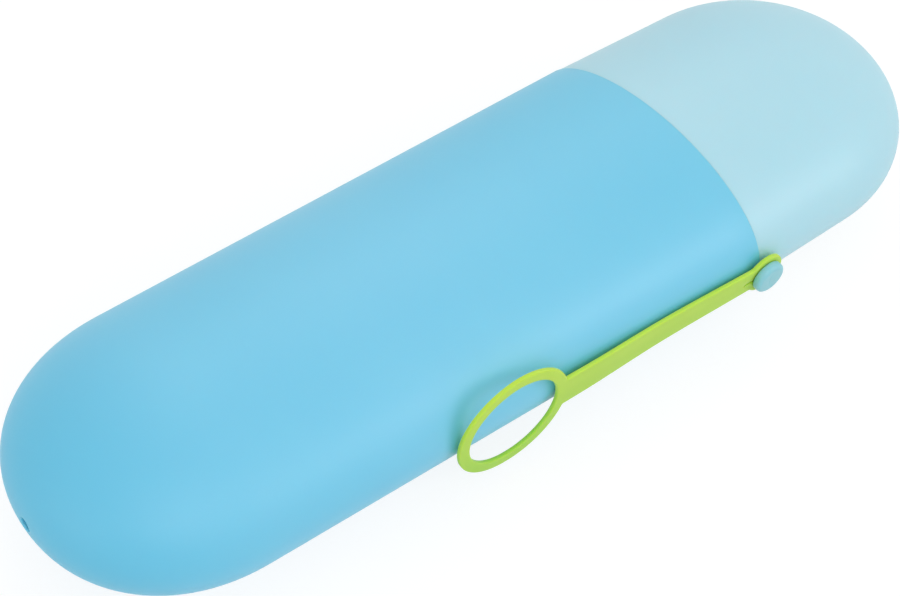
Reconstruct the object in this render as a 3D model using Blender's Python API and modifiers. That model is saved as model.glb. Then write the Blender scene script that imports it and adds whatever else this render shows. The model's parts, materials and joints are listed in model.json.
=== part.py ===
"""A travel toothbrush case: oval body and cap, a snap-in stud and a hanging strap.

+X runs from the body's closed end to the cap, +Z is up, and the strap lies on the -Y side.
The origin is on the case's underside, at mid length, where it rests.
"""

import math

import bmesh
import bpy
from mathutils import Vector

MM = 0.001

# Case
CASE_WIDTH = 64.0 * MM
CASE_HEIGHT = 35.2 * MM
BODY_LENGTH = 147.5 * MM
CAP_LENGTH = 62.5 * MM
BODY_END = 32.4 * MM
CAP_END = 32.8 * MM
BODY_END_POWER = 2.14
CAP_END_POWER = 2.02
SIDE_DRAFT = math.radians(1.0)
REST_FLAT = 0.08 * MM

# Parting line
SEAM_SKEW = math.radians(2.4)
SEAM_STEP = 0.2 * MM
SEAM_GAP = 0.2 * MM
RIM_ROUND = 0.25 * MM
RIM_TURN = math.radians(50)

# Walls
BODY_WALL = 1.5 * MM
CAP_WALL = 1.9 * MM
VENT_DIAMETER = 3.1 * MM

# Sleeve of the cap
SLEEVE_LENGTH = 12.0 * MM
SLEEVE_ROOT = 5.0 * MM
SLEEVE_WALL = 1.2 * MM
SLEEVE_GAP = 0.3 * MM
SLEEVE_LEAD = 1.5 * MM
SLEEVE_LEAD_DROP = 0.4 * MM
BEAD_HEIGHT = 0.18 * MM
BEAD_WIDTH = 3.0 * MM
BEAD_DISTANCE = 6.5 * MM
BEAD_ROW_SHARES = (-1.0, -0.5, 0.0, 0.5, 1.0)

# Stud
STUD_FORWARD = 0.2 * MM
STUD_RISE = 0.35 * MM
HEAD_DIAMETER = 7.1 * MM
HEAD_THICKNESS = 1.75 * MM
HEAD_ROUND = 0.8 * MM
NECK_DIAMETER = 5.0 * MM
STEM_DIAMETER = 3.2 * MM
STEM_GAP = 0.3 * MM
BARB_OVERHANG = 0.9 * MM
BARB_LENGTH = 1.8 * MM
BARB_TIP_DIAMETER = 2.2 * MM
SEAT_GAP = 0.3 * MM

# Strap
STRAP_THICKNESS = 0.9 * MM
STRAP_REACH = 64.6 * MM
STRAP_STUD_WIDTH = 5.7 * MM
STRAP_RING_WIDTH = 8.4 * MM
STRAP_STUD_GAP = 0.7 * MM
STRAP_MIDDLE_GAP = 0.4 * MM
STRAP_RING_GAP = 0.85 * MM
STRAP_MIDDLE_SHARE = 0.4
STRAP_RING_SHARE = 0.75
STRAP_HEAD_GAP = 0.35 * MM
EYELET_DIAMETER = 9.1 * MM
EYELET_GAP = 0.4 * MM
SLIT_WIDTH = 0.5 * MM
SLIT_REACH = 5.75 * MM
SLIT_ANGLE = math.radians(3.5)
RING_DIAMETER = 25.9 * MM
RING_HOLE_DIAMETER = 20.9 * MM

# Fineness
AROUND = 64
END_STEPS = 12
STRAIGHT_STEPS = 3
ROUND_STEPS = 3
RIM_STEPS = 2
BEND_STEPS = 12
STUD_SIDES = 48
RING_SIDES = 72
VENT_SIDES = 32
SMOOTH_TURN = math.radians(35)

# Working allowances
OVERRUN = 2.0 * MM
WELD = 0.0001 * MM
SNAP = 0.01 * MM

HALF_WIDTH = CASE_WIDTH / 2
HALF_HEIGHT = CASE_HEIGHT / 2
SEAM_X = (BODY_LENGTH - CAP_LENGTH) / 2
AXIS_HEIGHT = HALF_HEIGHT - REST_FLAT
STUD_X = HALF_WIDTH * math.tan(SEAM_SKEW) + STUD_FORWARD
SLEEVE_INSET = BODY_WALL + SLEEVE_GAP
STEM_HOLE_DIAMETER = STEM_DIAMETER + 2 * STEM_GAP

QUARTER_TURN = math.radians(90)
BLUE = (0.225, 0.610, 0.810, 1.0)
PALE_BLUE = (0.440, 0.730, 0.800, 1.0)
LIME = (0.460, 0.730, 0.110, 1.0)
PLASTIC_ROUGHNESS = 0.45
SILICONE_ROUGHNESS = 0.5


def clear_scene():
    for obj in list(bpy.data.objects):
        bpy.data.objects.remove(obj, do_unlink=True)


def new_collection(name):
    collection = bpy.data.collections.new(name)
    bpy.context.scene.collection.children.link(collection)
    return collection


def link_only(obj, collection):
    for other in list(obj.users_collection):
        other.objects.unlink(obj)
    collection.objects.link(obj)


def make_cutter(obj):
    link_only(obj, CUTTERS)
    obj.hide_render = True
    obj.display_type = "WIRE"


def bake(obj):
    """Swap the object's mesh for the one that its modifiers make."""
    bpy.context.view_layer.update()
    graph = bpy.context.evaluated_depsgraph_get()
    mesh = bpy.data.meshes.new_from_object(obj.evaluated_get(graph))
    mesh.name = obj.name
    obj.modifiers.clear()
    obj.data = mesh


def drop_slivers(obj):
    """Merge points that a cut left almost on top of each other."""
    mesh = bmesh.new()
    mesh.from_mesh(obj.data)
    bmesh.ops.dissolve_degenerate(mesh, dist=SNAP, edges=mesh.edges)
    bmesh.ops.remove_doubles(mesh, verts=mesh.verts, dist=SNAP)
    mesh.to_mesh(obj.data)
    mesh.free()


def half_width_at(along):
    """Half the case's width at a distance along the case from the parting line."""
    return HALF_WIDTH - abs(along) * math.tan(SIDE_DRAFT)


def end_profile(length, end, power, start):
    """Distance and share of full girth, from the parting line out to a pole."""
    straight = length - end
    rows = [start + (straight - start) * step / STRAIGHT_STEPS for step in range(STRAIGHT_STEPS)]
    points = [(row, 1.0) for row in rows]
    for step in range(END_STEPS):
        turn = QUARTER_TURN * step / END_STEPS
        points.append((straight + end * math.sin(turn) ** (2 / power), math.cos(turn) ** (2 / power)))
    points.append((length, 0.0))
    return points


def spun_surface(name, profile):
    """Turn a profile of distance and share about the long axis, one metre wide."""
    mesh = bpy.data.meshes.new(name)
    points = [(along, share, 0.0) for along, share in profile]
    mesh.from_pydata(points, [(row, row + 1) for row in range(len(points) - 1)], [])
    obj = bpy.data.objects.new(name, mesh)
    SHELLS.objects.link(obj)
    screw = obj.modifiers.new("turn", "SCREW")
    screw.axis = "X"
    screw.steps = AROUND
    screw.render_steps = AROUND
    screw.use_merge_vertices = True
    screw.merge_threshold = WELD
    bake(obj)
    return obj


def shape_oval(obj, inset_at, rim):
    """Give a spun surface the case's oval section, draft and slanted rim."""
    for vertex in obj.data.vertices:
        along, across, up = vertex.co
        if abs(along - rim) < WELD:
            along -= across * HALF_WIDTH * math.tan(SEAM_SKEW)
        inset = inset_at(along)
        wide = across * (half_width_at(along) - inset)
        high = max(up * (HALF_HEIGHT - inset), -AXIS_HEIGHT)
        vertex.co = (along, wide, high)
    face_outward(obj)


def face_outward(obj):
    """Point an open surface's faces away from the long axis."""
    shell = bmesh.new()
    shell.from_mesh(obj.data)
    bmesh.ops.recalc_face_normals(shell, faces=shell.faces)
    outward = sum(face.normal.yz.dot(face.calc_center_median().yz) for face in shell.faces)
    if outward < 0:
        bmesh.ops.reverse_faces(shell, faces=shell.faces)
    shell.to_mesh(obj.data)
    shell.free()


def thicken(obj, wall):
    solidify = obj.modifiers.new("wall", "SOLIDIFY")
    solidify.thickness = wall
    solidify.offset = -1
    solidify.use_even_offset = True


def round_rims(obj, radius):
    bevel = obj.modifiers.new("rim_round", "BEVEL")
    bevel.width = radius
    bevel.segments = RIM_STEPS
    bevel.limit_method = "ANGLE"
    bevel.angle_limit = RIM_TURN


def combine(obj, other, operation):
    boolean = obj.modifiers.new(other.name, "BOOLEAN")
    boolean.operation = operation
    boolean.solver = "EXACT"
    boolean.object = other
    make_cutter(other)


def finish(obj, colour, roughness):
    """Apply what shapes the object and give it smooth shading and its own plastic."""
    bake(obj)
    drop_slivers(obj)
    obj.data.shade_smooth()
    obj.data.set_sharp_from_angle(angle=SMOOTH_TURN)
    material = bpy.data.materials.new(obj.name)
    material.use_nodes = True
    shader = material.node_tree.nodes["Principled BSDF"]
    shader.inputs["Base Color"].default_value = colour
    shader.inputs["Roughness"].default_value = roughness
    shader.inputs["Metallic"].default_value = 0.0
    obj.data.materials.clear()
    obj.data.materials.append(material)


def side_peg(name, diameter, inner, outer, parent):
    """A cylinder along Y on the stud's axis, between two distances from the middle."""
    bpy.ops.mesh.primitive_cylinder_add(vertices=STUD_SIDES, radius=diameter / 2, depth=outer - inner)
    peg = bpy.context.object
    peg.name = name
    peg.parent = parent
    peg.location = (STUD_X, -(inner + outer) / 2, STUD_RISE)
    peg.rotation_euler = (QUARTER_TURN, 0, 0)
    return peg


def place_on_seam(obj):
    obj.parent = CASE_AXIS
    obj.location = (SEAM_X, 0, 0)


def build_body():
    """The long shell, with a vent in its pole and a notch for the stud in its mouth."""
    profile = end_profile(BODY_LENGTH, BODY_END, BODY_END_POWER, 0)
    body = spun_surface("case_body", [(-along, share) for along, share in profile])
    shape_oval(body, lambda along: 0, 0)
    place_on_seam(body)
    thicken(body, BODY_WALL)
    round_rims(body, RIM_ROUND)

    vent_depth = 2 * BODY_WALL + 2 * OVERRUN
    bpy.ops.mesh.primitive_cylinder_add(vertices=VENT_SIDES, radius=VENT_DIAMETER / 2, depth=vent_depth)
    vent = bpy.context.object
    vent.name = "vent_cutter"
    vent.parent = body
    vent.location = (-BODY_LENGTH, 0, 0)
    vent.rotation_euler = (QUARTER_TURN / VENT_SIDES, QUARTER_TURN, 0)
    combine(body, vent, "DIFFERENCE")

    notch_inner = HALF_WIDTH - BODY_WALL - OVERRUN
    notch = side_peg("notch_cutter", STEM_HOLE_DIAMETER, notch_inner, HALF_WIDTH + OVERRUN, body)
    combine(body, notch, "DIFFERENCE")
    finish(body, BLUE, PLASTIC_ROUGHNESS)
    return body


def sleeve_inset(along):
    """How far the sleeve's outer face lies inside the case's outer face."""
    from_tip = along + SLEEVE_LENGTH
    lead = SLEEVE_LEAD_DROP * max(0, 1 - from_tip / SLEEVE_LEAD)
    from_bead = min(1, abs(along + BEAD_DISTANCE) / (BEAD_WIDTH / 2))
    bead = BEAD_HEIGHT * math.cos(QUARTER_TURN * from_bead) ** 2
    return SLEEVE_INSET + lead - bead


def build_sleeve(cap):
    """The reduced collar that plugs into the body's mouth."""
    rows = [-SLEEVE_LENGTH, SLEEVE_LEAD - SLEEVE_LENGTH]
    rows += [BEAD_WIDTH / 2 * side - BEAD_DISTANCE for side in BEAD_ROW_SHARES]
    rows += [0, SLEEVE_ROOT]
    sleeve = spun_surface("cap_sleeve", [(row, 1.0) for row in rows])
    shape_oval(sleeve, sleeve_inset, SLEEVE_ROOT)
    thicken(sleeve, SLEEVE_WALL)
    bake(sleeve)
    sleeve.parent = cap
    return sleeve


def build_cap():
    """The short shell with its sleeve, drilled for the stud's stem."""
    cap = spun_surface("case_cap", end_profile(CAP_LENGTH, CAP_END, CAP_END_POWER, SEAM_GAP))
    shape_oval(cap, lambda along: SEAM_STEP, SEAM_GAP)
    place_on_seam(cap)
    thicken(cap, CAP_WALL)
    round_rims(cap, RIM_ROUND)
    bake(cap)
    combine(cap, build_sleeve(cap), "UNION")

    hole_inner = HALF_WIDTH - SLEEVE_INSET - SLEEVE_WALL - OVERRUN
    hole = side_peg("stem_cutter", STEM_HOLE_DIAMETER, hole_inner, HALF_WIDTH + OVERRUN, cap)
    combine(cap, hole, "DIFFERENCE")
    finish(cap, PALE_BLUE, PLASTIC_ROUGHNESS)
    return cap


def turned_solid(name, profile):
    """A solid turned about its own Z axis from radius and height, top to bottom."""
    mesh = bpy.data.meshes.new(name)
    points = [(radius, 0.0, height) for radius, height in profile]
    mesh.from_pydata(points, [(row, row + 1) for row in range(len(points) - 1)], [])
    obj = bpy.data.objects.new(name, mesh)
    SHELLS.objects.link(obj)
    screw = obj.modifiers.new("turn", "SCREW")
    screw.steps = STUD_SIDES
    screw.render_steps = STUD_SIDES
    screw.use_merge_vertices = True
    screw.merge_threshold = WELD
    return obj


def build_stud(cap):
    """The mushroom button: head outside the strap, neck on the seam, barb in the sleeve."""
    strap_face = HALF_WIDTH + STRAP_STUD_GAP + STRAP_THICKNESS
    under_head = strap_face + STRAP_HEAD_GAP
    face = under_head + HEAD_THICKNESS
    shoulder = HALF_WIDTH + SEAT_GAP
    barb_top = HALF_WIDTH - SLEEVE_INSET - SLEEVE_WALL - 2 * SEAT_GAP
    head = HEAD_DIAMETER / 2
    neck = NECK_DIAMETER / 2
    stem = STEM_DIAMETER / 2

    profile = [(0, face)]
    for step in range(ROUND_STEPS + 1):
        turn = QUARTER_TURN * step / ROUND_STEPS
        radius = head - HEAD_ROUND * (1 - math.sin(turn))
        profile.append((radius, face - HEAD_ROUND * (1 - math.cos(turn))))
    profile += [(head, under_head), (neck, under_head), (neck, shoulder), (stem, shoulder)]
    profile += [(stem, barb_top), (stem + BARB_OVERHANG / 2, barb_top)]
    profile += [(BARB_TIP_DIAMETER / 2, barb_top - BARB_LENGTH), (0, barb_top - BARB_LENGTH)]

    stud = turned_solid("strap_stud", profile)
    stud.parent = cap
    stud.location = (STUD_X, 0, STUD_RISE)
    stud.rotation_euler = (QUARTER_TURN, 0, 0)
    finish(stud, PALE_BLUE, PLASTIC_ROUGHNESS)
    return stud


def arc(centre, radius, start, end, steps):
    """Points of an arc between two angles in radians, both ends included."""
    angles = [start + (end - start) * step / steps for step in range(steps + 1)]
    return [(centre + radius * math.cos(angle), radius * math.sin(angle)) for angle in angles]


def edge_angle(centre, radius, towards):
    """Where the band's upper edge meets a round end, as an angle about its centre."""
    rise = (STRAP_RING_WIDTH - STRAP_STUD_WIDTH) / 2
    along = Vector((-STRAP_REACH, rise)).normalized()
    from_centre = Vector((-centre, STRAP_STUD_WIDTH / 2))
    middle = -from_centre.dot(along)
    offset = (from_centre + along * middle).length
    meeting = from_centre + along * (middle + towards * math.sqrt(radius ** 2 - offset ** 2))
    return math.atan2(meeting.y, meeting.x)


def add_outline(curve, points):
    spline = curve.splines.new("POLY")
    spline.points.add(len(points) - 1)
    for point, (x, y) in zip(spline.points, points):
        point.co = (x, y, 0, 1)
    spline.use_cyclic_u = True


def ease(share):
    """A smooth rise from 0 to 1."""
    share = min(1, max(0, share))
    return share * share * (3 - 2 * share)


def strap_face_at(reach):
    """Distance of the strap's inner face from the case's middle, at a reach from the stud."""
    share = min(1, max(0, reach / STRAP_REACH))
    settle = ease(share / STRAP_MIDDLE_SHARE)
    lift = ease((share - STRAP_MIDDLE_SHARE) / (STRAP_RING_SHARE - STRAP_MIDDLE_SHARE))
    gap = STRAP_STUD_GAP + (STRAP_MIDDLE_GAP - STRAP_STUD_GAP) * settle
    gap += (STRAP_RING_GAP - STRAP_MIDDLE_GAP) * lift
    return half_width_at(share * STRAP_REACH) + gap


def strap_outlines():
    """The strap's outer edge, its ring hole, and its eyelet hole with the slit."""
    ring = RING_DIAMETER / 2
    eyelet = EYELET_DIAMETER / 2
    ring_turn = edge_angle(-STRAP_REACH, ring, -1)
    eyelet_turn = edge_angle(0, eyelet, 1)
    outer = arc(-STRAP_REACH, ring, ring_turn, math.tau - ring_turn, RING_SIDES)
    outer += arc(0, eyelet, -eyelet_turn, eyelet_turn, STUD_SIDES)

    hole = arc(-STRAP_REACH, RING_HOLE_DIAMETER / 2, 0, math.tau, RING_SIDES)[:-1]

    bore = NECK_DIAMETER / 2 + EYELET_GAP
    slit_turn = math.pi + SLIT_ANGLE
    half_mouth = math.asin(SLIT_WIDTH / 2 / bore)
    half_end = math.asin(SLIT_WIDTH / 2 / SLIT_REACH)
    keyhole = arc(0, bore, slit_turn + half_mouth - math.tau, slit_turn - half_mouth, STUD_SIDES)
    keyhole += arc(0, SLIT_REACH, slit_turn - half_end, slit_turn + half_end, 1)
    return outer, hole, keyhole


def bend_strap(strap):
    """Cut the flat strap into short lengths and lean it towards the case."""
    band = bmesh.new()
    band.from_mesh(strap.data)
    bmesh.ops.remove_doubles(band, verts=band.verts, dist=SNAP)
    for step in range(BEND_STEPS + 1):
        plane = (-STRAP_REACH * step / BEND_STEPS, 0, 0)
        geometry = band.verts[:] + band.edges[:] + band.faces[:]
        bmesh.ops.bisect_plane(band, geom=geometry, dist=SNAP, plane_co=plane, plane_no=(1, 0, 0))
    for vertex in band.verts:
        vertex.co.z += strap_face_at(-vertex.co.x) + STRAP_THICKNESS / 2
    bmesh.ops.recalc_face_normals(band, faces=band.faces)
    band.to_mesh(strap.data)
    band.free()


def build_strap(cap):
    """The silicone strap, which turns about the stud's axis."""
    curve = bpy.data.curves.new("strap_outline", "CURVE")
    curve.dimensions = "2D"
    curve.fill_mode = "BOTH"
    curve.extrude = STRAP_THICKNESS / 2
    for points in strap_outlines():
        add_outline(curve, points)
    outline = bpy.data.objects.new("strap_outline", curve)
    SHELLS.objects.link(outline)
    bpy.context.view_layer.update()
    graph = bpy.context.evaluated_depsgraph_get()
    mesh = bpy.data.meshes.new_from_object(outline.evaluated_get(graph))
    strap = bpy.data.objects.new("hanging_strap", mesh)
    strap.matrix_world = outline.matrix_world
    SHELLS.objects.link(strap)
    bpy.data.objects.remove(outline, do_unlink=True)

    bend_strap(strap)
    strap.parent = cap
    strap.location = (STUD_X, 0, STUD_RISE)
    strap.rotation_euler = (QUARTER_TURN, 0, 0)
    finish(strap, LIME, SILICONE_ROUGHNESS)
    return strap


clear_scene()
SHELLS = new_collection("toothbrush_case")
CUTTERS = new_collection("cutters")
CASE_AXIS = bpy.data.objects.new("case_axis", None)
SHELLS.objects.link(CASE_AXIS)
CASE_AXIS.location = (0, 0, AXIS_HEIGHT)

build_body()
case_cap = build_cap()
build_stud(case_cap)
build_strap(case_cap)
bpy.context.view_layer.update()
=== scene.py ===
"""Looks of a travel toothbrush case: fine shells, stud and strap in place of the plain solids.

Lengths are metres in the model's frame: +X towards the cap, +Z up, the strap on the -Y side.
"""

import json
import math

import bmesh
import bpy
from mathutils import Matrix, Vector


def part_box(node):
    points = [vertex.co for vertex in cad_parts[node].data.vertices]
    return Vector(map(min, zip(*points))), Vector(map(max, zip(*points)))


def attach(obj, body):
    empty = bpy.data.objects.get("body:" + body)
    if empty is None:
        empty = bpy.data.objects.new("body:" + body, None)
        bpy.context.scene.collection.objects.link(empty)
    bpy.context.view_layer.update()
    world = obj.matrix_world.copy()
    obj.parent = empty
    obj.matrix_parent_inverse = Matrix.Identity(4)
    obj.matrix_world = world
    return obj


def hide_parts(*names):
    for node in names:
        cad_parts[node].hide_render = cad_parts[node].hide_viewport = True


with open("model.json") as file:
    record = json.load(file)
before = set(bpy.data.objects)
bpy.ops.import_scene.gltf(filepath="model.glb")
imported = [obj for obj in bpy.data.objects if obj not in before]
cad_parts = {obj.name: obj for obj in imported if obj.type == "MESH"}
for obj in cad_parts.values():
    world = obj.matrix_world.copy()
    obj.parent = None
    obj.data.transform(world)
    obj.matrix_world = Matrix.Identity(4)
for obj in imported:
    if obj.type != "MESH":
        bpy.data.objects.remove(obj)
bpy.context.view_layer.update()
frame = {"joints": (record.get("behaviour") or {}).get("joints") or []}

MM = 0.001

# Case, as in the part
BODY_LENGTH = 147.5 * MM
CAP_LENGTH = 62.5 * MM
BODY_END = 32.4 * MM
CAP_END = 32.8 * MM
BODY_END_POWER = 2.14
CAP_END_POWER = 2.02
SIDE_DRAFT = math.radians(1.0)
REST_FLAT = 0.08 * MM
BODY_WALL = 1.5 * MM
CAP_WALL = 1.9 * MM

# Parting line: the rims meet in a hairline
SEAM_SKEW = math.radians(2.4)
SEAM_STEP = 0.2 * MM
SEAM_GAP = 0.07 * MM
RIM_ROUND = 0.14 * MM

# Vent in the body's pole
VENT_RADIUS = 1.4 * MM
VENT_ROUND = 0.35 * MM
VENT_START_SHARE = 0.3

# Sleeve of the cap
SLEEVE_LENGTH = 12.0 * MM
SLEEVE_ROOT = 5.0 * MM
SLEEVE_WALL = 1.2 * MM
SLEEVE_INSET = 1.8 * MM
SLEEVE_LEAD = 1.5 * MM
SLEEVE_LEAD_DROP = 0.4 * MM
SLEEVE_ROUND = 0.2 * MM
BEAD_HEIGHT = 0.18 * MM
BEAD_HALF_WIDTH = 1.5 * MM
BEAD_DISTANCE = 6.5 * MM

# Stud
HEAD_RADIUS = 3.55 * MM
HEAD_THICKNESS = 1.9 * MM
HEAD_ROUND = 0.85 * MM
HEAD_CROWN = 0.06 * MM
UNDERCUT_ROUND = 0.25 * MM
NECK_ROUND = 0.15 * MM
NECK_RADIUS = 2.5 * MM
STEM_RADIUS = 1.6 * MM
BARB_OVERHANG = 0.45 * MM
BARB_LENGTH = 1.8 * MM
BARB_TIP_RADIUS = 1.1 * MM
STEM_GAP = 0.2 * MM
SEAT_GAP = 0.12 * MM
BARB_GAP = 0.6 * MM
GATE_MARK_PLACE = (-0.82 * MM, 0.35 * MM)
GATE_MARK_WIDTH = 0.2 * MM
GATE_MARK_HEIGHT = 1.5 * MM
GATE_MARK_BEND = 0.14 * MM
GATE_MARK_DEPTH = 0.075 * MM

# Strap
STRAP_THICKNESS = 0.9 * MM
STRAP_ROUND = 0.22 * MM
STRAP_CROWN = 0.05 * MM
STRAP_CROWN_WIDTH = 0.9 * MM
STRAP_BACK_ROUND = 0.15 * MM
STRAP_REACH = 64.6 * MM
STRAP_STUD_WIDTH = 5.7 * MM
STRAP_RING_WIDTH = 8.4 * MM
STRAP_STUD_GAP = 0.7 * MM
STRAP_MIDDLE_GAP = 0.4 * MM
STRAP_RING_GAP = 0.85 * MM
STRAP_MIDDLE_SHARE = 0.4
STRAP_RING_SHARE = 0.75
STRAP_HEAD_GAP = 0.12 * MM
EYELET_RADIUS = 4.55 * MM
EYELET_BORE = 2.6 * MM
SLIT_WIDTH = 0.5 * MM
SLIT_REACH = 5.75 * MM
SLIT_ANGLE = math.radians(3.5)
SLIT_LIP_ROUND = 0.5 * MM
RING_RADIUS = 12.95 * MM
RING_HOLE_RADIUS = 10.45 * MM
EYELET_FILLET = 1.1 * MM
RING_FILLET = 0.3 * MM

# Fineness
AROUND = 256
STRAIGHT_ROWS = 20
END_ROWS = 40
POLE_ROWS = 12
CORNER_ROWS = 4
CROWN_ROWS = 5
STUD_SIDES = 96
FACE_ROWS = 16
RING_SIDES = 192
EYELET_SIDES = 96
BEND_ROWS = 32
SHARP_TURN = math.radians(40)
OVERRUN = 2.0 * MM
WELD = 0.001 * MM

# Colours: pairs of a place and a colour, along X on the plastic and up Z on the strap
# Painted shade: the body is darker and deeper blue towards its closed end, which faces away from the
# key light.
BODY_TINTS_WITH_PAINTED_SHADE = (
    (-105 * MM, (0.106, 0.577, 0.825)),
    (-68 * MM, (0.169, 0.633, 0.881)),
    (-30 * MM, (0.185, 0.642, 0.888)),
    (42 * MM, (0.166, 0.631, 0.869)),
)
CAP_TINTS = ((42 * MM, (0.453, 0.766, 0.875)), (105 * MM, (0.453, 0.766, 0.875)))
STUD_TINTS = ((40 * MM, (0.260, 0.635, 0.715)), (48 * MM, (0.260, 0.635, 0.715)))
# Painted light: the strap is lighter and yellower towards its top, where more light falls, and duller
# low down.
STRAP_TINTS_WITH_PAINTED_LIGHT = ((5 * MM, (0.440, 0.755, 0.082)), (31 * MM, (0.560, 0.780, 0.078)))
BODY_SPECK = (0.10, 0.42, 0.62)
CAP_SPECK = (0.24, 0.50, 0.58)
STUD_SPECK = (0.20, 0.50, 0.58)
STRAP_DUST = (0.60, 0.78, 0.30)
SHELL_ROUGHNESS = 0.45
STUD_ROUGHNESS = 0.42

# Noise, as an amount of detail and the span of it that makes the whole effect
CLOUD_DETAIL = 3
CLOUD_SPAN = (0.35, 0.7)
GRAIN_DETAIL = 2
GRAIN_SPAN = (0.3, 0.7)
SAG_DETAIL = 1

# Plastic
PLASTIC_IOR = 1.49
PLASTIC_SPECULAR = 1.0
PLASTIC_SUBSURFACE = 0.4
PLASTIC_SUBSURFACE_RADIUS = (0.35, 1.0, 1.1)
PLASTIC_SUBSURFACE_SCALE = 1.6 * MM
PLASTIC_CLOUD_SIZE = 32 * MM
PLASTIC_CLOUD_TINT = (0.955, 0.98, 0.99)
PLASTIC_SPECK_SPACING = 13 * MM
PLASTIC_SPECK_SIZE = 0.16 * MM
PLASTIC_ROUGHNESS_SPREAD = 0.04
PLASTIC_GRAIN_SIZE = 0.35 * MM
PLASTIC_GRAIN_DEPTH = 0.02 * MM
PLASTIC_GRAIN_STRENGTH = 0.35
PLASTIC_SAG_SIZE = 26 * MM
PLASTIC_SAG_DEPTH = 0.12 * MM
PLASTIC_SAG_STRENGTH = 0.5

# Silicone
SILICONE_IOR = 1.42
SILICONE_SUBSURFACE = 0.7
SILICONE_SUBSURFACE_RADIUS = (0.9, 1.2, 0.25)
SILICONE_SUBSURFACE_SCALE = 1.1 * MM
SILICONE_SHEEN = 0.12
SILICONE_SHEEN_ROUGHNESS = 0.5
SILICONE_CLOUD_SIZE = 9 * MM
SILICONE_CLOUD_TINT = (0.96, 0.98, 0.9)
SILICONE_DUST_SPACING = 3 * MM
SILICONE_DUST_SIZE = 0.07 * MM
SILICONE_ROUGHNESS_SPAN = (0.5, 0.62)
SILICONE_GRAIN_SIZE = 0.22 * MM
SILICONE_GRAIN_DEPTH = 0.015 * MM
SILICONE_GRAIN_STRENGTH = 0.4

# Places of the colour sockets on a Mix node
MIX_FIRST = 6
MIX_SECOND = 7
MIX_RESULT = 2

# Studio: what the floor and sky show, and what light they carry
FLOOR_SIZE = 6.0
FLOOR_DROP = 0.02 * MM
FLOOR_ROUGHNESS = 0.9
FLOOR_SHOWN = 0.25
FLOOR_GLOW = 0.81
FLOOR_BOUNCE = 0.78
SKY_SHOWN = 1.0
SKY_LIGHT = 0.7
WHITE = (1, 1, 1, 1)

# Camera, fitted to the photograph; the lens and the frame's width are in millimetres
FRAME_WIDTH = 36.0
LENS = 76.92
CAMERA_NEAR = 10 * MM
CAMERA_AZIMUTH = math.radians(-43.94)
CAMERA_ELEVATION = math.radians(51.03)
CAMERA_ROLL = math.radians(7.37)
CAMERA_DISTANCE = 381.64 * MM
FRAME_RIGHT = 7.94 * MM
FRAME_UP = 6.80 * MM

BODY_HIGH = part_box("case_body")[1]
HALF_WIDTH = BODY_HIGH.y
HALF_HEIGHT = (BODY_HIGH.z + REST_FLAT) / 2
AXIS_HEIGHT = HALF_HEIGHT - REST_FLAT
SEAM_X = (BODY_LENGTH - CAP_LENGTH) / 2
SWIVEL = Vector(next(j for j in frame["joints"] if j["name"] == "strap_swivel")["pos_m"])
QUARTER = math.radians(90)


def linked(obj):
    """Put the object in the scene."""
    bpy.context.scene.collection.objects.link(obj)
    return obj


def bake(obj):
    """Swap the object's mesh for the one that its modifiers make."""
    bpy.context.view_layer.update()
    graph = bpy.context.evaluated_depsgraph_get()
    mesh = bpy.data.meshes.new_from_object(obj.evaluated_get(graph))
    mesh.name = obj.name
    obj.modifiers.clear()
    obj.data = mesh


def dress(obj, body, node, material):
    """Smooth the piece, give it its finish and put it in the node's place."""
    obj.data.shade_smooth()
    obj.data.set_sharp_from_angle(angle=SHARP_TURN)
    obj.data.materials.clear()
    obj.data.materials.append(material)
    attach(obj, body)
    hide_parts(node)


def skin(name, rings, loop=False):
    """A mesh through rings of points; a ring of one point is a pole."""
    mesh = bmesh.new()
    rows = [[mesh.verts.new(point) for point in ring] for ring in rings]
    pairs = list(zip(rows, rows[1:]))
    if loop:
        pairs.append((rows[-1], rows[0]))
    for first, second in pairs:
        count = max(len(first), len(second))
        for step in range(count):
            after = (step + 1) % count
            corners = [first[step % len(first)], first[after % len(first)]]
            corners += [second[after % len(second)], second[step % len(second)]]
            mesh.faces.new(list(dict.fromkeys(corners)))
    bmesh.ops.recalc_face_normals(mesh, faces=mesh.faces)
    data = bpy.data.meshes.new(name)
    mesh.to_mesh(data)
    mesh.free()
    return linked(bpy.data.objects.new(name, data))


def corner_rows(along, inset, radius, start, end, lean):
    """Rows round a corner of the wall, between two angles in degrees about its centre."""
    rows = []
    for step in range(CORNER_ROWS + 1):
        turn = math.radians(start + (end - start) * step / CORNER_ROWS)
        rows.append((along + radius * math.cos(turn), 1.0, inset + radius * math.sin(turn), lean))
    return rows


def oval_ring(row):
    """Points of one row of the case: distance from the seam, share of girth, inset and lean."""
    along, share, inset, lean = row
    ring = []
    for step in range(AROUND):
        turn = math.tau * step / AROUND
        across, rise = share * math.cos(turn), share * math.sin(turn)
        x = along - lean * across * HALF_WIDTH * math.tan(SEAM_SKEW)
        y = across * (HALF_WIDTH - abs(x) * math.tan(SIDE_DRAFT) - inset)
        z = max(rise * (HALF_HEIGHT - inset), -AXIS_HEIGHT)
        ring.append((SEAM_X + x, y, AXIS_HEIGHT + z))
    return ring


def wall_rows(side, start, length, end, power, inset, smallest):
    """Rows of one face of a shell, from a start near the seam out to the smallest share of girth."""
    straight = length - end
    rows = []
    for step in range(STRAIGHT_ROWS):
        share = step / STRAIGHT_ROWS
        rows.append((side * (start + (straight - start) * share), 1.0, inset, 1 - share))
    for step in range(END_ROWS):
        turn = QUARTER * step / END_ROWS
        share = math.cos(turn) ** (2 / power)
        if share < smallest:
            break
        along = straight + (end - inset) * math.sin(turn) ** (2 / power)
        rows.append((side * along, share, inset, 0.0))
    return rows


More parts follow.
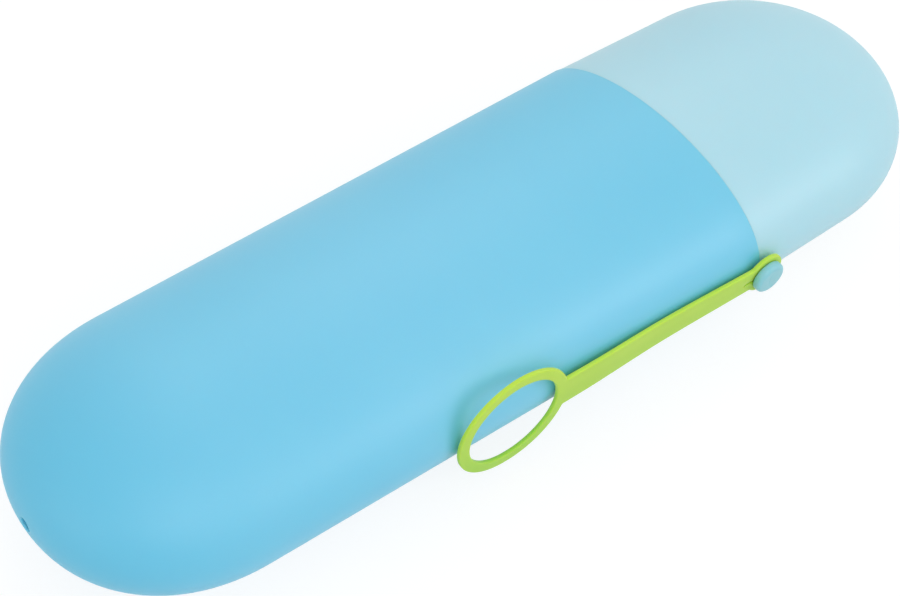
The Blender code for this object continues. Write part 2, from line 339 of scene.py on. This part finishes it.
def pole_ring(wide, high, depth, inset):
    """A ring on the body's end, given by its half axes, sunk below the face by a depth."""
    half_width = HALF_WIDTH - BODY_LENGTH * math.tan(SIDE_DRAFT) - inset
    ring = []
    for step in range(AROUND):
        turn = math.tau * step / AROUND
        y, z = wide * math.cos(turn), high * math.sin(turn)
        share = math.hypot(y / half_width, z / (HALF_HEIGHT - inset))
        bulge = (1 - share ** BODY_END_POWER) ** (1 / BODY_END_POWER)
        along = BODY_LENGTH - BODY_END + (BODY_END - inset) * bulge
        ring.append((SEAM_X - along + depth, y, AXIS_HEIGHT + z))
    return ring


def pole_rings(inset, last):
    """Rings that turn from the oval of the end to the vent's circle, of the last radius."""
    wide = VENT_START_SHARE * (HALF_WIDTH - BODY_LENGTH * math.tan(SIDE_DRAFT) - inset)
    high = VENT_START_SHARE * (HALF_HEIGHT - inset)
    rings = []
    for step in range(POLE_ROWS):
        share = step / POLE_ROWS
        shrink = last ** share
        rings.append(pole_ring(wide ** (1 - share) * shrink, high ** (1 - share) * shrink, 0, inset))
    return rings


def vent_rings():
    """The vent's rounded mouth and its bore, from outside to inside."""
    rings = []
    for step in range(CORNER_ROWS + 1):
        turn = QUARTER * step / CORNER_ROWS
        radius = VENT_RADIUS + VENT_ROUND * (1 - math.sin(turn))
        rings.append(pole_ring(radius, radius, VENT_ROUND * (1 - math.cos(turn)), 0))
    for step in range(CORNER_ROWS + 1):
        turn = QUARTER * (1 - step / CORNER_ROWS)
        radius = VENT_RADIUS + VENT_ROUND * (1 - math.sin(turn))
        rings.append(pole_ring(radius, radius, -VENT_ROUND * (1 - math.cos(turn)), BODY_WALL))
    return rings


def cut_round(obj, radius, inner, outer):
    """Cut a round pocket along Y on the stud's axis, between two distances from the middle."""
    middle = Vector((SWIVEL.x, -(inner + outer) / 2, SWIVEL.z))
    bpy.ops.mesh.primitive_cylinder_add(vertices=STUD_SIDES, radius=radius, depth=outer - inner)
    cutter = bpy.context.object
    cutter.location = middle
    cutter.rotation_euler = (QUARTER, 0, 0)
    cut = obj.modifiers.new("cut", "BOOLEAN")
    cut.operation = "DIFFERENCE"
    cut.solver = "EXACT"
    cut.object = cutter
    bake(obj)
    bpy.data.objects.remove(cutter, do_unlink=True)


def build_body(material):
    """The long shell: rounded rim, drafted sides, blunt end and a rounded vent."""
    mouth = VENT_RADIUS + VENT_ROUND
    faces = [
        wall_rows(-1, RIM_ROUND, BODY_LENGTH, BODY_END, BODY_END_POWER, inset, VENT_START_SHARE)
        for inset in (0, BODY_WALL)
    ]
    outer = corner_rows(-RIM_ROUND, RIM_ROUND, RIM_ROUND, 0, -90, 1) + faces[0][1:]
    inner = faces[1][:0:-1] + corner_rows(-RIM_ROUND, BODY_WALL - RIM_ROUND, RIM_ROUND, 90, 0, 1)

    rings = [oval_ring(row) for row in outer]
    rings += pole_rings(0, mouth) + vent_rings() + pole_rings(BODY_WALL, mouth)[::-1]
    rings += [oval_ring(row) for row in inner]
    body = skin("body_shell", rings, loop=True)
    cut_round(body, STEM_RADIUS + STEM_GAP, HALF_WIDTH - BODY_WALL - OVERRUN, HALF_WIDTH + OVERRUN)
    dress(body, "body", "case_body", material)


def sleeve_rows():
    """The sleeve's outer face from its root to its tip, with the grip bead and the lead-in."""
    rows = []
    for step in range(-2 * CORNER_ROWS, 2 * CORNER_ROWS + 1):
        share = -step / (2 * CORNER_ROWS)
        bead = BEAD_HEIGHT * math.cos(QUARTER * share) ** 2
        rows.append((BEAD_HALF_WIDTH * share - BEAD_DISTANCE, 1.0, SLEEVE_INSET - bead, 0.0))
    rows.append((SLEEVE_LEAD - SLEEVE_LENGTH, 1.0, SLEEVE_INSET, 0.0))
    return rows


def build_cap(material):
    """The short shell and its sleeve in one skin, from the outer pole round to the inner one."""
    fillet = SLEEVE_ROUND
    inner_inset = SEAM_STEP + CAP_WALL
    sleeve_inner = SLEEVE_INSET + SLEEVE_WALL
    tip = -SLEEVE_LENGTH + SLEEVE_ROUND
    start = SEAM_GAP + RIM_ROUND

    outer = wall_rows(1, start, CAP_LENGTH, CAP_END, CAP_END_POWER, 0, 0)
    rows = [(along, share, SEAM_STEP, lean) for along, share, _, lean in outer[:0:-1]]
    rows += corner_rows(start, SEAM_STEP + RIM_ROUND, RIM_ROUND, -90, -180, 1)
    rows += corner_rows(SEAM_GAP - fillet, SLEEVE_INSET - fillet, fillet, 0, 90, 1)
    rows += sleeve_rows()
    rows += corner_rows(tip, SLEEVE_INSET + SLEEVE_LEAD_DROP + fillet, fillet, -90, -180, 0)
    rows += corner_rows(tip, sleeve_inner - fillet, fillet, 180, 90, 0)
    rows += corner_rows(SLEEVE_ROOT - fillet, sleeve_inner - fillet, fillet, 90, 0, 1)
    rows.append((SLEEVE_ROOT, 1.0, inner_inset, 1.0))
    rows += wall_rows(1, SLEEVE_ROOT, CAP_LENGTH, CAP_END, CAP_END_POWER, inner_inset, 0)[1:]

    rings = [[(SEAM_X + CAP_LENGTH, 0, AXIS_HEIGHT)]]
    rings += [oval_ring(row) for row in rows]
    rings.append([(SEAM_X + CAP_LENGTH - inner_inset, 0, AXIS_HEIGHT)])
    cap = skin("cap_shell", rings)
    cut_round(cap, STEM_RADIUS + STEM_GAP, HALF_WIDTH - sleeve_inner - OVERRUN, HALF_WIDTH + OVERRUN)
    dress(cap, "cap", "case_cap", material)


def round_profile(radius, height, size, start, end):
    """Points round a corner of a turned profile, between two angles in degrees about its centre."""
    points = []
    for step in range(CORNER_ROWS + 1):
        turn = math.radians(start + (end - start) * step / CORNER_ROWS)
        points.append((radius + size * math.cos(turn), height + size * math.sin(turn)))
    return points


def gate_mark(right, up):
    """Depth of the short bent line left on the head by its moulding, at a place from its centre."""
    rise = (up - GATE_MARK_PLACE[1]) / GATE_MARK_HEIGHT
    aside = (right - GATE_MARK_PLACE[0] - GATE_MARK_BEND * rise ** 2) / GATE_MARK_WIDTH
    return GATE_MARK_DEPTH * math.exp(-aside ** 2 - rise ** 4)


def build_stud(material):
    """The snap-in button: crowned head with a faint gate mark, neck, stem and barb."""
    under_head = HALF_WIDTH + STRAP_STUD_GAP + STRAP_THICKNESS + STRAP_HEAD_GAP
    face = under_head + HEAD_THICKNESS
    shoulder = HALF_WIDTH + SEAT_GAP
    barb_top = HALF_WIDTH - SLEEVE_INSET - SLEEVE_WALL - BARB_GAP
    barb_edge = STEM_RADIUS + BARB_OVERHANG
    flat = HEAD_RADIUS - HEAD_ROUND

    profile = [(flat * step / FACE_ROWS, face) for step in range(1, FACE_ROWS)]
    profile += round_profile(flat, face - HEAD_ROUND, HEAD_ROUND, 90, 0)
    undercut = UNDERCUT_ROUND
    profile += round_profile(HEAD_RADIUS - undercut, under_head + undercut, undercut, 0, -90)
    profile += round_profile(NECK_RADIUS + NECK_ROUND, under_head - NECK_ROUND, NECK_ROUND, 90, 180)
    profile += [(NECK_RADIUS, shoulder), (STEM_RADIUS, shoulder), (STEM_RADIUS, barb_top)]
    profile += round_profile(barb_edge - NECK_ROUND, barb_top - NECK_ROUND, NECK_ROUND, 90, 0)
    profile.append((BARB_TIP_RADIUS, barb_top - BARB_LENGTH))

    rings = [[(SWIVEL.x, -face, SWIVEL.z)]]
    turns = [math.tau * step / STUD_SIDES for step in range(STUD_SIDES)]
    for radius, height in profile:
        rings.append([
            (SWIVEL.x + radius * math.cos(turn), -height, SWIVEL.z + radius * math.sin(turn))
            for turn in turns
        ])
    rings.append([(SWIVEL.x, BARB_LENGTH - barb_top, SWIVEL.z)])
    stud = skin("stud_button", rings)
    for vertex in stud.data.vertices:
        if vertex.co.y < HEAD_ROUND / 2 - face:
            right, up = vertex.co.x - SWIVEL.x, vertex.co.z - SWIVEL.z
            vertex.co.y += HEAD_CROWN * (right ** 2 + up ** 2) / HEAD_RADIUS ** 2 + gate_mark(right, up)
    dress(stud, "cap", "strap_stud", material)


def arc(centre, radius, start, end, steps):
    """Points of an arc between two angles in radians, both ends included."""
    points = []
    for step in range(steps + 1):
        turn = start + (end - start) * step / steps
        points.append(centre + Vector((math.cos(turn), math.sin(turn))) * radius)
    return points


def edge_fillet(centre, radius, fillet, towards):
    """Centre of the fillet where the band's upper edge meets a round end, towards +1 or -1 along it."""
    rise = (STRAP_RING_WIDTH - STRAP_STUD_WIDTH) / 2
    along = Vector((-STRAP_REACH, rise)).normalized()
    outward = Vector((rise, STRAP_REACH)).normalized()
    start = Vector((0, STRAP_STUD_WIDTH / 2)) + outward * fillet - centre
    middle = -start.dot(along)
    offset = (start + along * middle).length
    return centre + start + along * (middle + towards * math.sqrt((radius + fillet) ** 2 - offset ** 2))


def keyhole_outline():
    """The eyelet's bore and the slit that opens from it, with rounded lips and a round end."""
    lean = math.pi + SLIT_ANGLE
    half = SLIT_WIDTH / 2
    lip_reach = math.sqrt((EYELET_BORE + SLIT_LIP_ROUND) ** 2 - (half + SLIT_LIP_ROUND) ** 2)
    lip_turn = math.atan2(half + SLIT_LIP_ROUND, lip_reach)
    bore = arc(Vector((0, 0)), EYELET_BORE, lip_turn, math.tau - lip_turn, EYELET_SIDES)
    low_lip = Vector((lip_reach, -half - SLIT_LIP_ROUND))
    high_lip = Vector((lip_reach, half + SLIT_LIP_ROUND))
    end = Vector((SLIT_REACH - half, 0))

    points = bore
    points += arc(low_lip, SLIT_LIP_ROUND, math.pi - lip_turn, QUARTER, 2 * CORNER_ROWS)[1:]
    points += arc(end, half, -QUARTER, QUARTER, 2 * CORNER_ROWS)
    points += arc(high_lip, SLIT_LIP_ROUND, -QUARTER, lip_turn - math.pi, 2 * CORNER_ROWS)[:-1]
    spin = Matrix.Rotation(lean, 2)
    return [spin @ point for point in points[::-1]]


def strap_outlines():
    """Closed outlines with the strap always on their left, each with the crown beside it."""
    ring, eyelet = Vector((-STRAP_REACH, 0)), Vector((0, 0))
    near = edge_fillet(eyelet, EYELET_RADIUS, EYELET_FILLET, 1)
    far = edge_fillet(ring, RING_RADIUS, RING_FILLET, -1)
    near_turn = math.atan2(near.y, near.x)
    far_turn = math.atan2(far.y, far.x - ring.x)
    down = math.atan2(-STRAP_REACH, (STRAP_STUD_WIDTH - STRAP_RING_WIDTH) / 2)

    upper = arc(eyelet, EYELET_RADIUS, 0, near_turn, EYELET_SIDES // 2)
    upper += arc(near, EYELET_FILLET, near_turn - math.pi, down, 2 * CORNER_ROWS)[1:]
    upper += arc(far, RING_FILLET, down, far_turn - math.pi, 2 * CORNER_ROWS)
    upper += arc(ring, RING_RADIUS, far_turn, math.pi, RING_SIDES // 2)[1:]
    outer = upper + [Vector((point.x, -point.y)) for point in upper[-2:0:-1]]
    hole = arc(ring, RING_HOLE_RADIUS, 0, -math.tau, RING_SIDES)[:-1]
    return (outer, STRAP_CROWN), (hole, STRAP_CROWN), (keyhole_outline(), 0)


def moved_in(outline, distance):
    """The outline moved to its left, with mitred corners."""
    count = len(outline)
    moved = []
    for step, point in enumerate(outline):
        before = (point - outline[step - 1]).normalized()
        after = (outline[(step + 1) % count] - point).normalized()
        left, right = Vector((-before.y, before.x)), Vector((-after.y, after.x))
        moved.append(point + (left + right) * (distance / (1 + left.dot(right))))
    return moved


def edge_levels(crown):
    """Distance in from the outline and height of each line of a crowned edge, from front to back."""
    half = STRAP_THICKNESS / 2
    turns = [QUARTER * row / CORNER_ROWS for row in range(CORNER_ROWS + 1)]
    insets = [STRAP_ROUND * (1 - math.sin(turn)) for turn in turns]
    if crown:
        step = (STRAP_CROWN_WIDTH - STRAP_ROUND) / CROWN_ROWS
        insets = [STRAP_CROWN_WIDTH - step * row for row in range(CROWN_ROWS)] + insets
    levels = []
    for inset in insets:
        corner = max(0, STRAP_ROUND - inset)
        drop = STRAP_ROUND - math.sqrt(STRAP_ROUND ** 2 - corner ** 2)
        drop += crown * (1 - inset / STRAP_CROWN_WIDTH) ** 2
        levels.append((inset, half - drop))
    for row in range(CORNER_ROWS + 1):
        turn = QUARTER * (1 - row / CORNER_ROWS)
        inset, rise = 1 - math.sin(turn), 1 - math.cos(turn)
        levels.append((STRAP_BACK_ROUND * inset, STRAP_BACK_ROUND * rise - half))
    return levels


def ease(share):
    """A smooth rise from 0 to 1."""
    share = min(1, max(0, share))
    return share * share * (3 - 2 * share)


def strap_face_at(reach):
    """Distance of the strap's inner face from the case's middle, at a reach from the stud."""
    share = min(1, max(0, reach / STRAP_REACH))
    settle = ease(share / STRAP_MIDDLE_SHARE)
    lift = ease((share - STRAP_MIDDLE_SHARE) / (STRAP_RING_SHARE - STRAP_MIDDLE_SHARE))
    gap = STRAP_STUD_GAP + (STRAP_MIDDLE_GAP - STRAP_STUD_GAP) * settle
    gap += (STRAP_RING_GAP - STRAP_MIDDLE_GAP) * lift
    return HALF_WIDTH - share * STRAP_REACH * math.tan(SIDE_DRAFT) + gap


def build_strap(material):
    """The silicone strap with soft edges: ring, band, eyelet and the slit for fitting it."""
    band = bmesh.new()
    top, bottom = [], []
    for outline, crown in strap_outlines():
        lines = []
        for inward, height in edge_levels(crown):
            points = moved_in(outline, inward)
            lines.append([band.verts.new((point.x, point.y, height)) for point in points])
        count = len(outline)
        for first, second in zip(lines, lines[1:]):
            for step in range(count):
                after = (step + 1) % count
                band.faces.new((first[step], second[step], second[after], first[after]))
        top += [band.edges.get((lines[0][step - 1], lines[0][step])) for step in range(count)]
        bottom += [band.edges.get((lines[-1][step - 1], lines[-1][step])) for step in range(count)]
    bmesh.ops.triangle_fill(band, use_beauty=True, use_dissolve=False, edges=top)
    bmesh.ops.triangle_fill(band, use_beauty=True, use_dissolve=False, edges=bottom)
    for step in range(BEND_ROWS + 1):
        plane = (-STRAP_REACH * step / BEND_ROWS, 0, 0)
        geometry = band.verts[:] + band.edges[:] + band.faces[:]
        bmesh.ops.bisect_plane(band, geom=geometry, dist=WELD, plane_co=plane, plane_no=(1, 0, 0))
    for vertex in band.verts:
        along, up, out = vertex.co
        face = strap_face_at(-along) + STRAP_THICKNESS / 2
        vertex.co = (SWIVEL.x + along, -out - face, SWIVEL.z + up)
    bmesh.ops.recalc_face_normals(band, faces=band.faces)
    data = bpy.data.meshes.new("strap_band")
    band.to_mesh(data)
    band.free()
    strap = linked(bpy.data.objects.new("strap_band", data))
    dress(strap, "strap", "hanging_strap", material)


class Finish:
    """A Principled material and short ways to feed its sockets from object coordinates."""

    def __init__(self, name):
        self.material = bpy.data.materials.new(name)
        self.material.use_nodes = True
        self.nodes = self.material.node_tree.nodes
        self.links = self.material.node_tree.links
        self.shader = self.nodes["Principled BSDF"]
        self.place = self.nodes.new("ShaderNodeTexCoord").outputs["Object"]
        apart = self.nodes.new("ShaderNodeSeparateXYZ")
        self.links.new(self.place, apart.inputs["Vector"])
        self.along, self.rise = apart.outputs["X"], apart.outputs["Z"]

    def set(self, **values):
        """Set sockets of the shader, with underscores for the spaces in their names."""
        for name, value in values.items():
            self.shader.inputs[name.replace("_", " ")].default_value = value

    def noise(self, size, detail):
        """Clouds about as large as a size in metres, from 0 to 1."""
        node = self.nodes.new("ShaderNodeTexNoise")
        node.inputs["Scale"].default_value = 1 / size
        node.inputs["Detail"].default_value = detail
        self.links.new(self.place, node.inputs["Vector"])
        return node.outputs["Fac"]

    def specks(self, spacing, size):
        """1 in rare small specks and 0 elsewhere."""
        node = self.nodes.new("ShaderNodeTexVoronoi")
        node.inputs["Scale"].default_value = 1 / spacing
        self.links.new(self.place, node.inputs["Vector"])
        return self.ranged(node.outputs["Distance"], size / spacing / 2, size / spacing, 1, 0)

    def ranged(self, source, low, high, to_low, to_high):
        """A source's span from low to high, mapped on another span."""
        node = self.nodes.new("ShaderNodeMapRange")
        names = ("From Min", "From Max", "To Min", "To Max")
        for name, value in zip(names, (low, high, to_low, to_high)):
            node.inputs[name].default_value = value
        self.links.new(source, node.inputs["Value"])
        return node.outputs["Result"]

    def graded(self, source, tints_and_painted_light):
        """A colour that changes with a coordinate, through pairs of a place and a colour."""
        low, high = tints_and_painted_light[0][0], tints_and_painted_light[-1][0]
        node = self.nodes.new("ShaderNodeValToRGB")
        ramp = node.color_ramp
        ramp.interpolation = "EASE"
        ramp.elements.remove(ramp.elements[1])
        ramp.elements[0].color = (*tints_and_painted_light[0][1], 1)
        for place, colour in tints_and_painted_light[1:]:
            ramp.elements.new((place - low) / (high - low)).color = (*colour, 1)
        self.links.new(self.ranged(source, low, high, 0, 1), node.inputs["Fac"])
        return node.outputs["Color"]

    def mixed(self, factor, first, second, blend="MIX"):
        """Mix two colours; either may be a colour or another node's output."""
        node = self.nodes.new("ShaderNodeMix")
        node.data_type = "RGBA"
        node.blend_type = blend
        self.links.new(factor, node.inputs["Factor"])
        for value, socket in ((first, node.inputs[MIX_FIRST]), (second, node.inputs[MIX_SECOND])):
            if isinstance(value, tuple):
                socket.default_value = (*value, 1)
            else:
                self.links.new(value, socket)
        return node.outputs[MIX_RESULT]

    def bumped(self, source, depth, strength, under=None):
        """A bump of a depth in metres, on top of another bump."""
        node = self.nodes.new("ShaderNodeBump")
        node.inputs["Distance"].default_value = depth
        node.inputs["Strength"].default_value = strength
        self.links.new(source, node.inputs["Height"])
        if under is not None:
            self.links.new(under, node.inputs["Normal"])
        return node.outputs["Normal"]

    def feed(self, name, source):
        """Link a node's output to a socket of the shader."""
        self.links.new(source, self.shader.inputs[name])


def matte_plastic(name, tints_and_painted_light, speck, roughness):
    """Moulded plastic: clouded colour that changes along X (on the body, painted shade at its closed
    end), an eroded grain and a few specks.
    """
    finish = Finish(name)
    finish.set(IOR=PLASTIC_IOR, Specular_IOR_Level=PLASTIC_SPECULAR)
    finish.set(Subsurface_Weight=PLASTIC_SUBSURFACE)
    finish.set(Subsurface_Radius=PLASTIC_SUBSURFACE_RADIUS, Subsurface_Scale=PLASTIC_SUBSURFACE_SCALE)
    clouds = finish.ranged(finish.noise(PLASTIC_CLOUD_SIZE, CLOUD_DETAIL), *CLOUD_SPAN, 0, 1)
    # The colour graded along X carries the body's painted shade, darker at the closed end.
    tint_and_painted_light = finish.mixed(clouds, finish.graded(finish.along, tints_and_painted_light), PLASTIC_CLOUD_TINT, "MULTIPLY")
    specks = finish.specks(PLASTIC_SPECK_SPACING, PLASTIC_SPECK_SIZE)
    finish.feed("Base Color", finish.mixed(specks, tint_and_painted_light, speck))
    grain = finish.noise(PLASTIC_GRAIN_SIZE, GRAIN_DETAIL)
    smooth, rough = roughness - PLASTIC_ROUGHNESS_SPREAD, roughness + PLASTIC_ROUGHNESS_SPREAD
    finish.feed("Roughness", finish.ranged(grain, *GRAIN_SPAN, smooth, rough))
    sag = finish.noise(PLASTIC_SAG_SIZE, SAG_DETAIL)
    sag = finish.bumped(sag, PLASTIC_SAG_DEPTH, PLASTIC_SAG_STRENGTH)
    bump = finish.bumped(grain, PLASTIC_GRAIN_DEPTH, PLASTIC_GRAIN_STRENGTH, sag)
    finish.feed("Normal", bump)
    return finish.material


def matte_silicone(name, tints_and_painted_light, dust):
    """Soft silicone: lightly clouded, its colour changing up Z as painted light (lighter at the top),
    with a fine grain, a dry bloom and a little dust.
    """
    finish = Finish(name)
    finish.set(IOR=SILICONE_IOR, Subsurface_Weight=SILICONE_SUBSURFACE)
    finish.set(Subsurface_Radius=SILICONE_SUBSURFACE_RADIUS, Subsurface_Scale=SILICONE_SUBSURFACE_SCALE)
    finish.set(Sheen_Weight=SILICONE_SHEEN, Sheen_Roughness=SILICONE_SHEEN_ROUGHNESS)
    clouds = finish.ranged(finish.noise(SILICONE_CLOUD_SIZE, CLOUD_DETAIL), *CLOUD_SPAN, 0, 1)
    # The colour graded up Z is painted light: lighter and yellower at the top of the strap.
    tint_and_painted_light = finish.mixed(clouds, finish.graded(finish.rise, tints_and_painted_light), SILICONE_CLOUD_TINT, "MULTIPLY")
    specks = finish.specks(SILICONE_DUST_SPACING, SILICONE_DUST_SIZE)
    finish.feed("Base Color", finish.mixed(specks, tint_and_painted_light, dust))
    grain = finish.noise(SILICONE_GRAIN_SIZE, GRAIN_DETAIL)
    finish.feed("Roughness", finish.ranged(grain, *GRAIN_SPAN, *SILICONE_ROUGHNESS_SPAN))
    finish.feed("Normal", finish.bumped(grain, SILICONE_GRAIN_DEPTH, SILICONE_GRAIN_STRENGTH))
    return finish.material


def shown_or_lit(tree, shown, lit):
    """One value for rays that show the floor or sky, and another for those that carry its light."""
    path = tree.nodes.new("ShaderNodeLightPath")
    most = tree.nodes.new("ShaderNodeMath")
    most.operation = "MAXIMUM"
    tree.links.new(path.outputs["Is Camera Ray"], most.inputs[0])
    tree.links.new(path.outputs["Is Glossy Ray"], most.inputs[1])
    pick = tree.nodes.new("ShaderNodeMapRange")
    pick.inputs["To Min"].default_value = lit
    pick.inputs["To Max"].default_value = shown
    tree.links.new(most.outputs[0], pick.inputs["Value"])
    return pick.outputs["Result"]


def build_floor():
    """A plain pale floor that keeps the case's shadow."""
    bpy.ops.mesh.primitive_plane_add(size=FLOOR_SIZE, location=(0, 0, -FLOOR_DROP))
    floor = bpy.context.object
    floor.name = "floor"
    material = bpy.data.materials.new("floor_paper")
    material.use_nodes = True
    tree = material.node_tree
    shader = tree.nodes["Principled BSDF"]
    shader.inputs["Roughness"].default_value = FLOOR_ROUGHNESS
    shader.inputs["Specular IOR Level"].default_value = 0.0
    shader.inputs["Emission Color"].default_value = WHITE
    tree.links.new(shown_or_lit(tree, FLOOR_SHOWN, FLOOR_BOUNCE), shader.inputs["Base Color"])
    tree.links.new(shown_or_lit(tree, FLOOR_GLOW, 0), shader.inputs["Emission Strength"])
    floor.data.materials.append(material)


def build_sky():
    """An even white sky, shown brighter than it lights."""
    world = bpy.data.worlds.new("studio")
    bpy.context.scene.world = world
    world.use_nodes = True
    tree = world.node_tree
    sky = tree.nodes["Background"]
    sky.inputs["Color"].default_value = WHITE
    tree.links.new(shown_or_lit(tree, SKY_SHOWN, SKY_LIGHT), sky.inputs["Strength"])


def outward(turn, rise):
    """The way out from the case at an azimuth from the strap's side, and an elevation, in radians."""
    return Vector((math.sin(turn) * math.cos(rise), -math.cos(turn) * math.cos(rise), math.sin(rise)))


def softbox(name, azimuth, elevation, distance, size, power):
    """A square soft light that faces the case, by degrees, metres and watts."""
    away = outward(math.radians(azimuth), math.radians(elevation))
    lamp = bpy.data.lights.new(name, "AREA")
    lamp.shape = "SQUARE"
    lamp.size = size
    lamp.energy = power
    light = linked(bpy.data.objects.new(name, lamp))
    light.location = Vector((0, 0, AXIS_HEIGHT)) + away * distance
    light.rotation_mode = "QUATERNION"
    light.rotation_quaternion = away.to_track_quat("Z", "Y")


def build_camera():
    """The photograph's view of the case."""
    back = outward(CAMERA_AZIMUTH, CAMERA_ELEVATION)
    level = Vector((math.cos(CAMERA_AZIMUTH), math.sin(CAMERA_AZIMUTH), 0))
    upright = back.cross(level)
    right = level * math.cos(CAMERA_ROLL) + upright * math.sin(CAMERA_ROLL)
    up = upright * math.cos(CAMERA_ROLL) - level * math.sin(CAMERA_ROLL)
    lens = bpy.data.cameras.new("camera")
    lens.sensor_width = FRAME_WIDTH
    lens.lens = LENS
    lens.clip_start = CAMERA_NEAR
    camera = linked(bpy.data.objects.new("camera", lens))
    place = Vector((0, 0, AXIS_HEIGHT)) + back * CAMERA_DISTANCE - right * FRAME_RIGHT - up * FRAME_UP
    camera.matrix_world = Matrix.Translation(place) @ Matrix((right, up, back)).transposed().to_4x4()
    bpy.context.scene.camera = camera


build_camera()
build_floor()
build_sky()
softbox("key_light", azimuth=37, elevation=31, distance=1.0, size=0.3, power=1.12)
softbox("front_light", azimuth=-30, elevation=48, distance=1.2, size=0.8, power=1.94)
softbox("back_light", azimuth=142, elevation=50, distance=1.2, size=0.6, power=0.82)
softbox("left_light", azimuth=-90, elevation=18, distance=1.2, size=0.8, power=0.82)

# The body's colour carries painted shade, and the strap's carries painted light.
build_body(matte_plastic("body_finish_painted_shade", BODY_TINTS_WITH_PAINTED_SHADE, BODY_SPECK, SHELL_ROUGHNESS))
build_cap(matte_plastic("cap_finish", CAP_TINTS, CAP_SPECK, SHELL_ROUGHNESS))
build_stud(matte_plastic("stud_finish", STUD_TINTS, STUD_SPECK, STUD_ROUGHNESS))
build_strap(matte_silicone("strap_finish_painted_light", STRAP_TINTS_WITH_PAINTED_LIGHT, STRAP_DUST))

bpy.context.scene.view_settings.view_transform = "Standard"
